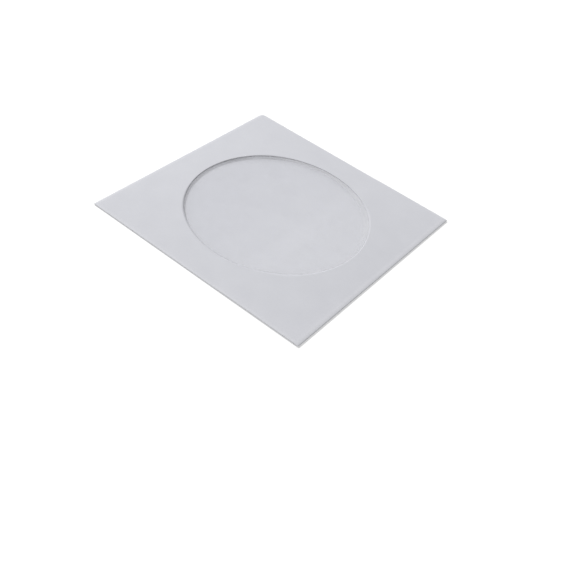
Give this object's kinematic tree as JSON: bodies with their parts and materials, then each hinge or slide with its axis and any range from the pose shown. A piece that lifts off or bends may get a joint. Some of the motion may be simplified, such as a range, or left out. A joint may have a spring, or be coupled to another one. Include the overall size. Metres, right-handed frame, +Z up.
{
  "type": "cd sleeve",
  "caption": "Flat white paper sleeve for one disc, with a round clear window, glued side seams and a closure flap tucked behind.",
  "frame": {"origin": "middle of the sleeve's outside, on the surface it lies on", "axes": "+X from the closed bottom fold towards the mouth, +Y across the sleeve, +Z up through the window"},
  "size_m": [0.125, 0.125, 0.0022],
  "materials": {
    "white_paper": "uncoated, smooth, matt white writing paper",
    "clear_film": "thin clear glossy film"
  },
  "bodies": {
    "root": {"paper_sleeve": "white_paper", "window_film": "clear_film"}
  },
  "joints": []
}
